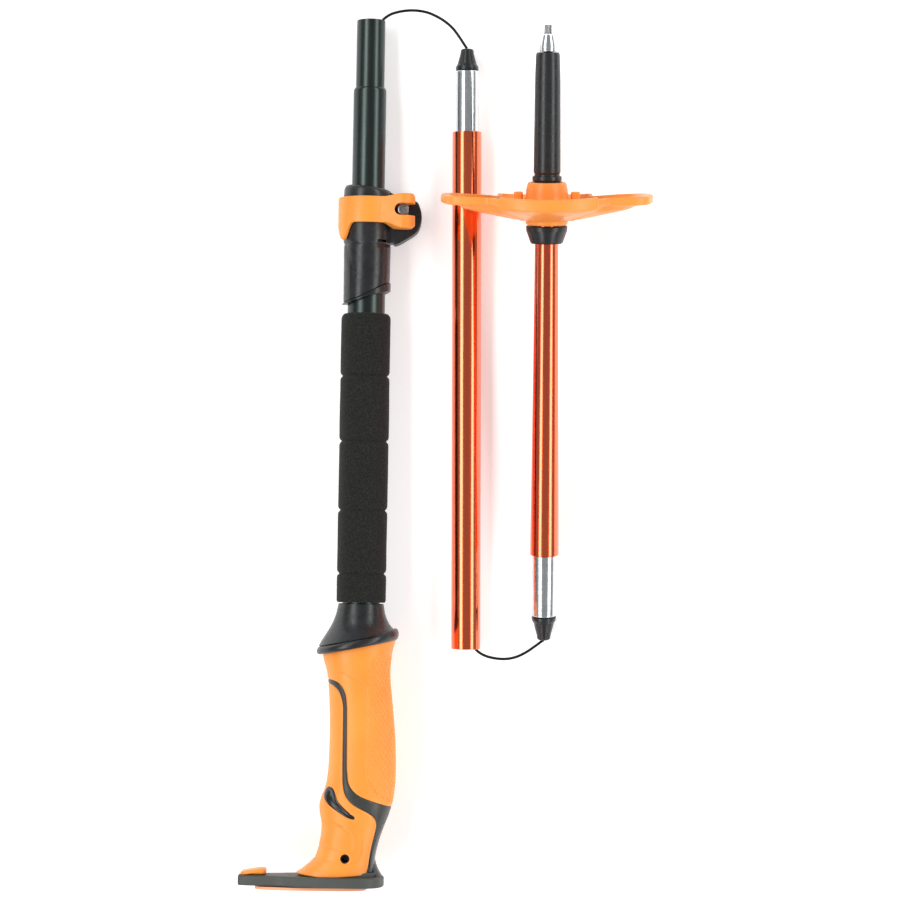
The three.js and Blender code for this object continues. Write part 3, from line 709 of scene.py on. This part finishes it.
def make_foam():
    """A foam sleeve with four turned grooves and a slightly uneven skin."""
    rows = 620
    stations = np.linspace(0.3, FOAM["top"], rows)
    radius = np.full(rows, float(FOAM["r"]))
    for groove in FOAM_GROOVES:
        radius -= 1.15 * np.exp(-np.abs((stations - groove) / 0.85) ** 1.6)
    shoulder = np.clip((stations - (FOAM["top"] - 3)) / 3, 0, 1)
    radius -= 2.2 * (1 - np.sqrt(np.clip(1 - shoulder ** 2, 0, 1)))
    foot = np.clip((1.5 - stations) / 1.2, 0, 1)
    radius -= 0.5 * foot ** 2
    angle = np.linspace(0, 2 * math.pi, SIDES, endpoint=False)
    rng = np.random.default_rng(7)
    waves = [(rng.integers(1, 7), rng.uniform(0.02, 0.25), rng.uniform(0, 6.28)) for _ in range(9)]
    uneven = sum(np.sin(n * angle[None, :] + k * stations[:, None] + p) for n, k, p in waves)
    r = radius[:, None] + 0.018 * uneven
    rings = [[(r[i, j] * math.cos(a), stations[i], r[i, j] * math.sin(a))
              for j, a in enumerate(angle)] for i in range(rows)]
    rings.append(ring_at(FOAM["top"] - 0.3, 0, FOAM["bore"]))
    rings.append(ring_at(0.3, 0, FOAM["bore"]))
    piece = looped("foam_sleeve", rings, UPPER, "foam", 50)
    belongs(piece, "upper", "foam_grip", slot="foam")


PLATE_OUTLINE = [
    (-57.1, -4.8), (-56, -6.8), (-50, -8.2), (-38, -9.6), (-26, -13.2), (-14, -15.2), (2, -15),
    (9.5, -12), (12.6, -6.5), (13.4, 0), (12.6, 6.5), (9.5, 12), (2, 15), (-14, 15.2),
    (-26, 13.2), (-38, 9.6), (-50, 8.2), (-56, 6.8), (-57.1, 4.8),
]
PLATE_TOP, PLATE_THICK = -131.9, 4.9
HEEL_OUTLINE = [
    (4, 9), (7.5, 7.6), (10.4, 6), (12.4, 3.5), (13.2, 0), (12.4, -3.5), (10.4, -6), (7.5, -7.6),
    (4, -9), (4, -7), (7.2, -4.6), (8.2, 0), (7.2, 4.6), (4, 7),
]


def pad_outline(left, right, half, power=3.2):
    """A soft rectangle drawn in x and z."""
    result = []
    for a in angles(40):
        c, s = math.cos(a), math.sin(a)
        across, deep = (math.copysign(abs(part) ** (2 / power), part) for part in (c, s))
        result.append(((left + right) / 2 + (right - left) / 2 * across, half * deep))
    return result


def make_head():
    """The plate with its boss and the heel that rises from it, and the two pads."""
    bottom = PLATE_TOP - PLATE_THICK
    plate = slab("head_plate_body", smooth_outline(PLATE_OUTLINE, 5), bottom, PLATE_TOP, UPPER,
                 "grey_plate", 0.9)
    boss = slab("plate_boss", pad_outline(-27.5, 10.6, 12, 2.4), PLATE_TOP - 0.3, PLATE_TOP + 2.2,
                UPPER, "grey_plate", 0.3)
    rings = []
    for t in (k / 12 for k in range(13)):
        pull = 4.6 * (1 - (1 - t) ** 2.2)
        rings.append([(x - pull, PLATE_TOP - 0.5 + 13 * t, z * (1 - 0.25 * t))
                      for x, z in HEEL_OUTLINE])
    heel = lofted("plate_heel", rings, UPPER, "gloss_black")
    belongs(joined("head_plate_body", [plate, boss]), "upper", "head_plate")
    belongs(heel, "upper")
    palm = slab("palm_cushion", pad_outline(-49, 5, 11), bottom - 1.8, bottom - 0.3, UPPER,
                "salmon_pad", 1.4)
    belongs(palm, "upper", "palm_pad")
    arm = slab("arm_grip_pad", pad_outline(-56, -43.5, 6.4, 4), PLATE_TOP + 0.3, PLATE_TOP + 3.3,
               UPPER, "orange_plastic", 1.2)
    # The pad's upper face slopes down towards the arm's tip.
    for vertex in arm.data.vertices:
        spot = UPPER.inverted() @ vertex.co
        if spot.y > PLATE_TOP + 1.4:
            spot.y -= 1.6 * smoothstep(-spot.x, 43.5, 57)
            vertex.co = UPPER @ spot
    belongs(arm, "upper", "arm_pad")


make_collar()
make_foam()
make_head()

# ---- Lock ---------------------------------------------------------------------------------

PIVOT = (17.4, 10.6)                 # x and z of the lever's barrel pin
SCREW_Y = 190.7
SLEEVE_BORE = 9.4
SLOT_LEFT = 13.2                     # x of the round end of the slot in the lever
BAND_INNER, BAND_OUTER = 12.3, 14.4  # the radii of the lever's band


def foot_of(a):
    """The station of the sleeve's slanted lower edge."""
    return 148.3 + 3.3 * math.cos(a)


def band_of(a):
    """The depth of the raised band along that edge, deepest under the ears."""
    return max(0.7, 1.4 + 2.9 * math.cos(a))


def sleeve_ring(angle, share, offset):
    """A ring at a share of the band's depth, or beyond it by an offset, with the band's relief."""
    ring = []
    for a in angle:
        y = foot_of(a) + share * band_of(a) + offset
        right = max(0, math.cos(a))
        hook = 0.6 * smoothstep(-math.cos(a), 0.8, 1) * (1 - smoothstep(share, 0.3, 1))
        relief = (0.45 * right + 0.1) if offset <= 0 else 0
        dip = 0.35 * math.exp(-((offset - 0.3) / 0.22) ** 2)
        r = 11.25 + relief + hook - dip
        ring.append((r * math.cos(a), y, r * math.sin(a)))
    return ring


def plain_ring(angle, y, r, slant=0.0):
    """A ring that is lower by the slant on its +x side."""
    return [(r * math.cos(a), y - slant * math.cos(a), r * math.sin(a)) for a in angle]


def make_housing():
    """The clamp's body: a collar with a slanted top, a sleeve with a slanted foot, and ears."""
    angle = angles(144)
    rings = [[(0.96 * x, y, 0.96 * z) for x, y, z in sleeve_ring(angle, 0, 0)]]
    rings += [sleeve_ring(angle, share, 0) for share in (0.08, 0.2, 0.5, 0.8, 0.92)]
    rings += [sleeve_ring(angle, 1, offset) for offset in (0, 0.1, 0.2, 0.3, 0.45, 0.6, 0.9)]
    for y in (160, 163, 166, 169, 171.5, 173.6, 174.3, 174.7, 175.2, 176.2, 180, 186, 192, 198):
        ring = []
        for a in angle:
            middle = 2.2 + 0.5 * smoothstep(y, 160, 176)
            crease = 0.3 * math.exp(-((a - middle) / 0.07) ** 2) * (1 - smoothstep(y, 172, 176))
            swell = 0.5 * smoothstep(y, 172, 180) + 0.12 * smoothstep(y, 160, 172)
            pinch = 0.5 * math.exp(-((y - 174.4) / 0.5) ** 2)
            r = 11.3 + swell - pinch - crease
            ring.append((r * math.cos(a), y, r * math.sin(a)))
        rings.append(ring)
    for y, r in ((200.3, 11.7), (201.2, 11.4), (201.9, 10.9), (202.3, 10.1), (202.4, 9),
                 (202.1, 8.4)):
        rings.append(plain_ring(angle, y, r, 1.2))
    rings += [plain_ring(angle, 199, 8.4), plain_ring(angle, 198.8, SLEEVE_BORE),
              plain_ring(angle, 160, SLEEVE_BORE)]
    rings.append([(SLEEVE_BORE * math.cos(a), foot_of(a) + 0.1, SLEEVE_BORE * math.sin(a))
                  for a in angle])
    body = looped("clamp_body", rings, UPPER, "black_plastic")
    slit = slab("slit", [(5.3, -14), (12.1, -14), (12.1, 14), (5.3, 14)], 175.2, 176.4, UPPER,
                "black_plastic", 0.01, 1)
    carve(body, slit)
    outline = smooth_outline([
        (9.2, 176.9), (12.4, 175.3), (14.2, 174.5), (19.6, 177.4), (24.6, 181.3), (26.3, 187.4),
        (25.6, 192.4), (23.4, 195.8), (16.3, 197.2), (9.2, 198.6)], 6)
    ears = [flat_plate(f"ear_{k}", outline, low, high, "black_plastic")
            for k, (low, high) in enumerate(((0.75, 4.4), (-6.6, -0.75)))]
    belongs(joined("clamp_body", [body, *ears]), "upper", "clamp_housing")


def flat_plate(name, outline, low, high, material, edge=0.7):
    """A plate drawn in x and y, between two heights, with rounded edges."""
    turn = Matrix.Rotation(-math.pi / 2, 4, "X")
    return slab(name, outline, -high, -low, UPPER @ turn, material, edge, 4)


# The lower edge of the lever's band round its tongue: degrees round the tube, and station.
TONGUE = [(118, 184.4), (124, 184), (129, 182.6), (134, 180.6), (139, 178.2), (144, 176.6),
          (149, 176.1), (154, 176.7), (160, 178.6), (168, 181), (182, 183.4), (196, 184.2)]


def make_lever():
    """The lever: a band round the clamp that thickens into the forked cam."""
    x0, z0 = PIVOT
    cam = 5.8
    outer, inner, low_edge = [], [], []
    turns, edges = zip(*TONGUE)
    for k in range(101):
        degrees = 196 - 134 * k / 100
        a = math.radians(degrees)
        outer.append((BAND_OUTER * math.cos(a), BAND_OUTER * math.sin(a)))
        inner.append((BAND_INNER * math.cos(a), BAND_INNER * math.sin(a)))
        low_edge.append(float(np.interp(degrees, turns, edges)))
    start, low_start = np.array(outer[-1]), np.array(inner[-1])
    top = np.array((x0 + cam * math.cos(1.75), z0 + cam * math.sin(1.75)))
    for t in (0.25, 0.5, 0.75):
        outer.append(tuple(start * (1 - t) + top * t))
        inner.append(tuple(low_start * (1 - t) + np.array((12.9, 7)) * t))
    for k in range(25):
        t = k / 24
        a, b = 1.75 * (1 - t) + 0.12 * t, -2.5 * (1 - t) - 0.12 * t
        outer.append((x0 + cam * math.cos(a), z0 + cam * math.sin(a)))
        inner.append((x0 + cam * math.cos(b), z0 + cam * math.sin(b)))
    rings = []
    for i, ((ox, oz), (ix, iz)) in enumerate(zip(outer, inner)):
        x = (ox + ix) / 2
        low = low_edge[i] if i < len(low_edge) else 184.4
        flare = smoothstep(x, 8, 15)
        corner = 1.3 * smoothstep(x, 21, 23.2) ** 2
        low += corner - 2.7 * flare
        high = 197.1 + 1.3 * flare - corner
        section = [(ox, low, oz), (ox, high, oz), (ix, high, iz), (ix, low, iz)]
        rings.append(rounded(section, 0.6, 3, 0.4))
    lever = lofted("lever_body", rings, UPPER, "orange_plastic")
    half = 3
    bend = [(SLOT_LEFT + half - half * math.sin(a), SCREW_Y + half * math.cos(a))
            for a in (math.pi * k / 12 for k in range(13))]
    slot = flat_plate("slot", [(40, SCREW_Y + half), *bend, (40, SCREW_Y - half)], 3.8, 30,
                      "orange_plastic", 0.01)
    carve(lever, slot)
    belongs(lever, "lever", "lock_lever")


def upright_ring(r, z, flats=0):
    """A ring round the screw's axis at a height, with flats for a hexagon."""
    result = []
    for a in angles(48):
        size = r
        if flats:
            part = (a % (2 * math.pi / flats)) - math.pi / flats
            size = r / math.cos(part)
        result.append((PIVOT[0] + size * math.cos(a), SCREW_Y + size * math.sin(a), z))
    return result


def make_fasteners():
    """The screw with its hexagon socket, and the nut under the ears."""
    z0 = PIVOT[1]
    rings = [upright_ring(1.2, -9.4), upright_ring(1.2, z0 + 1.2), upright_ring(2.4, z0 + 1.2),
             upright_ring(2.6, z0 + 1.4), upright_ring(2.6, z0 + 2.5),
             upright_ring(2.52, z0 + 2.7), upright_ring(2.3, z0 + 2.8),
             upright_ring(1.6, z0 + 2.8, flats=6), upright_ring(1.5, z0 + 2.6, flats=6),
             upright_ring(1.5, z0 + 1.7, flats=6)]
    screw = lofted("tension_screw", rings, UPPER, "steel")
    belongs(screw, "upper", "clamp_screw")
    rings = [upright_ring(1.5, -9.2), upright_ring(2.5, -9.3, flats=6),
             upright_ring(2.8, -9.0, flats=6), upright_ring(2.8, -7.2, flats=6),
             upright_ring(2.5, -6.95, flats=6), upright_ring(1.5, -6.95)]
    belongs(looped("tension_nut", rings, UPPER, "steel"), "upper", "clamp_nut")


make_housing()
make_lever()
make_fasteners()

# ---- Tubes --------------------------------------------------------------------------------


def make_upper_tubes():
    outer = turned("outer_tube_body", tube_profile(9.1, 8.3, OUTER_FROM, 199.6), UPPER,
                   "dark_tube")
    belongs(outer, "upper", "outer_tube", slot="dark_tube")
    inner = turned("inner_tube_body", [(7.25, -20), (8, -20), (8, 249.6), (7.9, 250.4),
                                       (7.45, 251.3), (7.25, 251.3)], UPPER, "dark_tube", 0.4)
    belongs(inner, "inner", "inner_tube", slot="dark_tube")
    joint = turned("joint_tube_body", tube_profile(6.95, 6, 200, JOINT_TUBE_MOUTH), UPPER,
                   "dark_tube", 0.35)
    belongs(joint, "inner", "joint_tube", slot="dark_tube")


def lead_cone(name, place, tip_r, cone_r, length, spigot, node, body):
    """The black lead-in: a ribbed cone with a drilled, rounded nose."""
    profile = [(1.1, 0), (tip_r - 0.6, 0), (tip_r, 0.7), (tip_r + 0.15, 2.2),
               (cone_r - 0.9, length - 3.4), (cone_r - 0.15, length - 2.2), (cone_r, length - 1.4),
               (cone_r, length - 0.3), (spigot, length - 0.3), (spigot, length + 8),
               (1.1, length + 8)]
    rings = []
    for r, y in rounded(profile, 0.3):
        ribbed = r > tip_r - 0.7 and 1 < y < length - 2.4
        ring = []
        for a in angles():
            size = r - ribbed * 0.28 * max(0.0, math.cos(6 * a)) ** 6
            ring.append((size * math.cos(a), y, size * math.sin(a)))
        rings.append(ring)
    belongs(looped(name, rings, place, "black_plastic"), body, node)


def ferrule(name, place, r, held, bore, low, high, node, body):
    """A bright sleeve with a thinner end that the tube holds."""
    profile = [(bore, low), (r - 0.35, low), (r, low + 0.5), (r, high - 0.3), (held, high - 0.3),
               (held, high + 22), (bore, high + 22)]
    piece = turned(name, profile, place, "bright_aluminium", 0.15)
    belongs(piece, body, node, slot="bright_aluminium")


def make_middle():
    lead_cone("middle_lead_cone", MIDDLE, 3.2, 5.6, 10.8, 4, "middle_cone", "middle")
    ferrule("middle_bright_ferrule", MIDDLE, 5.75, 5.7, 4.4, 10.8, MIDDLE_FERRULE_END,
            "middle_ferrule", "middle")
    profile = tube_profile(7.18, 6.33, MIDDLE_FERRULE_END, MIDDLE_TUBE_MOUTH)
    tube = turned("middle_tube_body", profile, MIDDLE, "orange_tube", 0.3)
    belongs(tube, "middle", "middle_tube", slot="orange_tube")


def make_lower():
    lead_cone("lower_lead_cone", LOWER, 3.3, 6, 12, 4.3, "lower_cone", "lower")
    ferrule("lower_bright_ferrule", LOWER, 6.1, 5.65, 4.8, 12, LOWER_FERRULE_END,
            "lower_ferrule", "lower")
    tube = turned("lower_tube_body", [
        (6.627, LOWER_FERRULE_END), (7.05, LOWER_FERRULE_END), (5.7, TAPER_END), (5.6, 212),
        (4.9, 212), (4.9, TAPER_END)], LOWER, "orange_tube", 0.25)
    belongs(tube, "lower", "lower_tube", slot="orange_tube")
    collar = turned("basket_collar_body", [
        (6, TAPER_END), (7.5, TAPER_END), (7.9, 195.3), (9.9, 201), (10, 203.2), (6, 203.2)],
        LOWER, "black_plastic", 0.45)
    belongs(collar, "lower", "basket_collar")
    sleeve = turned("tip_sleeve_body", [
        (5.95, 203.6), (6.1, 203.6), (6.1, 228.1), (6.5, 228.8), (6.42, 240), (6.15, 271.9),
        (5.75, 284.8), (5.3, 285.9), (2.3, 285.9), (2.3, 269.6), (0.3, 269.6), (0.3, 212.3),
        (5.95, 212.3)], LOWER, "black_plastic", 0.4)
    belongs(sleeve, "lower", "tip_sleeve")
    ring = turned("tip_ring_body", [(6.4, 224.6), (6.9, 224.6), (7.1, 225.2), (7.1, 226.5),
                                    (6.9, 227.1), (6.4, 227.1)], LOWER, "black_plastic", 0.3)
    belongs(ring, "lower", "tip_ring")
    cone = turned("tip_cone_body", [(0.2, 269.9), (2, 269.9), (2, 286.2), (4.1, 286.2),
                                    (4.3, 286.6), (4.2, 289), (3.1, 293.4), (2.8, 294.2),
                                    (0.2, 294.2)], LOWER, "bright_aluminium", 0.3)
    belongs(cone, "lower", "tip_cone")
    make_point()


def make_point():
    """The hard tip: a short fluted crown."""
    rings = []
    for y, r, depth in ((294.5, 1.9, 0), (295, 2, 0), (295.3, 2, 0.5), (298.2, 2, 0.5),
                        (298.7, 1.9, 0.5), (298.9, 1.6, 0.4), (298.2, 0.8, 0)):
        ring = []
        for a in angles():
            size = r - depth * (1 + math.cos(6 * a)) / 2
            ring.append((size * math.cos(a), y, size * math.sin(a)))
        rings.append(ring)
    point = lofted("tip_crown", rings, LOWER, "steel")
    belongs(point, "lower", "tip_point")


make_upper_tubes()
make_middle()
make_lower()

# ---- Basket -------------------------------------------------------------------------------

BASKET_RIM = 213.9                   # the station of the rim's middle
BASKET_EDGE = 50                     # the profile's radius, before the outline's lobes
BASKET_RIBS = 10


def basket_reach(angle):
    """The basket's outline radius: broad lobes at the sides, shorter ones near and far."""
    side = abs(math.cos(angle))
    return (35.2 + 15.7 * smoothstep(side, 0.8, 0.95)
            + 2.7 * (1 - smoothstep(side, 0.6, 0.67)))


def make_basket():
    """A dished snow basket: hub, ribbed web and deep rim."""
    web_low = [(r, 206.3 + (r - 13.4) * 0.14) for r in np.linspace(13.4, 36, 10)]
    web_high = [(r, 209.4 + (r - 13.6) * 0.12) for r in np.linspace(36, 15, 10)]
    profile = rounded([
        (7.5, 203.7), (9.6, 203.7), (10.1, 204.4), (10.2, 205.6), *web_low,
        (40, 210.1), (43.5, BASKET_RIM - 3), (49.2, BASKET_RIM - 3), (50, BASKET_RIM - 2.2),
        (50, BASKET_RIM + 2.2), (49.2, BASKET_RIM + 3), (45.5, BASKET_RIM + 3),
        (44.4, BASKET_RIM + 1.4), (42.5, 213.4), (39, 212.6), *web_high, (12.2, 210.6),
        (10.9, 213.6), (10.2, 217.6), (9.9, 221), (9.2, 223.7), (8.7, 224.2), (7.5, 224.2)], 0.5)
    rings = []
    for r, y in profile:
        ridge = 0.55 * smoothstep(r, 12, 16) * (1 - smoothstep(r, 35, 39))
        ridge *= -1 if y < 208 + 0.13 * (r - 14) else 1
        reach = min(1, max(0, (r - 14) / (BASKET_EDGE - 14)))
        ring = []
        for a in angles(240):
            far = r + reach * (basket_reach(a) - BASKET_EDGE)
            bend = 2.6 * math.cos(a) ** 2 + 1.55 * math.sin(a)
            side = abs(math.cos(a))
            slim = 0.42 * smoothstep(side, 0.62, 0.68) - 0.12 * smoothstep(side, 0.8, 0.95)
            slim *= smoothstep(r, 38, 46)
            rib = ridge * math.cos(BASKET_RIBS / 2 * a) ** 16
            lift = reach * bend - slim * (y - BASKET_RIM) + rib
            ring.append((far * math.cos(a), y + lift, far * math.sin(a)))
        rings.append(ring)
    body = looped("basket_body", rings, LOWER, "basket_plastic")
    pegs = [slab(f"peg_{side}", pad_outline(side * 13.7 - 2.2, side * 13.7 + 2.2, 2), 208, 219.6,
                 LOWER, "basket_plastic", 0.7) for side in (-1, 1)]
    belongs(joined("basket_body", [body, *pegs]), "basket", "basket", slot="orange_plastic")


make_basket()

# ---- Pieces that stay as the CAD has them -------------------------------------------------

CAD_FINISHES = {
    "barrel_pin": "steel", "guide_bush": "black_plastic", "upper_tether_stop": "steel",
    "lower_tether_stop": "steel", "upper_tether_run": "cable", "middle_tether_run": "cable",
    "lower_tether_run": "cable",
}


def finish_cad_nodes():
    """Finishes for the lever's pin and the pieces inside the tubes, which keep their CAD shape."""
    for node, material in CAD_FINISHES.items():
        data = frame["nodes"][node].data
        data.materials.clear()
        data.materials.append(MATERIALS[material])


finish_cad_nodes()

# ---- Floor and light ----------------------------------------------------------------------


def make_floor():
    """The pale surface that the pole lies on."""
    size = 6.0
    mesh = bpy.data.meshes.new("floor")
    mesh.from_pydata([(-size, -size, 0), (size, -size, 0), (size, size, 0), (-size, size, 0)], [],
                     [(0, 1, 2, 3)])
    floor = bpy.data.objects.new("floor", mesh)
    bpy.context.scene.collection.objects.link(floor)
    paint = Paint("floor", 0.9, specular=0.2)
    paint.colour(paint.noise(0.01, 2), (0.93, 0.93, 0.93), (0.95, 0.95, 0.95))
    paint.shader.inputs["Emission Color"].default_value = (1, 1, 1, 1)
    paint.shader.inputs["Emission Strength"].default_value = 0.35
    mesh.materials.append(paint.material)


def area_light(name, place, width, height, power):
    """A rectangular lamp that faces the middle of the floor."""
    data = bpy.data.lights.new(name, "AREA")
    data.shape = "RECTANGLE"
    data.size = width
    data.size_y = height
    data.energy = power
    lamp = bpy.data.objects.new(name, data)
    lamp.location = place
    aim = Vector((0, 0, 0)) - Vector(place)
    lamp.rotation_euler = aim.to_track_quat("-Z", "Y").to_euler()
    bpy.context.scene.collection.objects.link(lamp)


def make_light():
    """A white room, with a tall strip lamp on each side."""
    bpy.context.scene.view_settings.view_transform = "Standard"
    world = bpy.data.worlds.new("studio")
    world.use_nodes = True
    background = world.node_tree.nodes["Background"]
    background.inputs["Color"].default_value = (1, 1, 1, 1)
    background.inputs["Strength"].default_value = 0.32
    bpy.context.scene.world = world
    area_light("left_strip", (-0.74, 0, 0.95), 3.4, 0.42, 20)
    area_light("right_strip", (0.92, 0, 0.77), 3.4, 0.38, 17)


make_floor()
make_light()
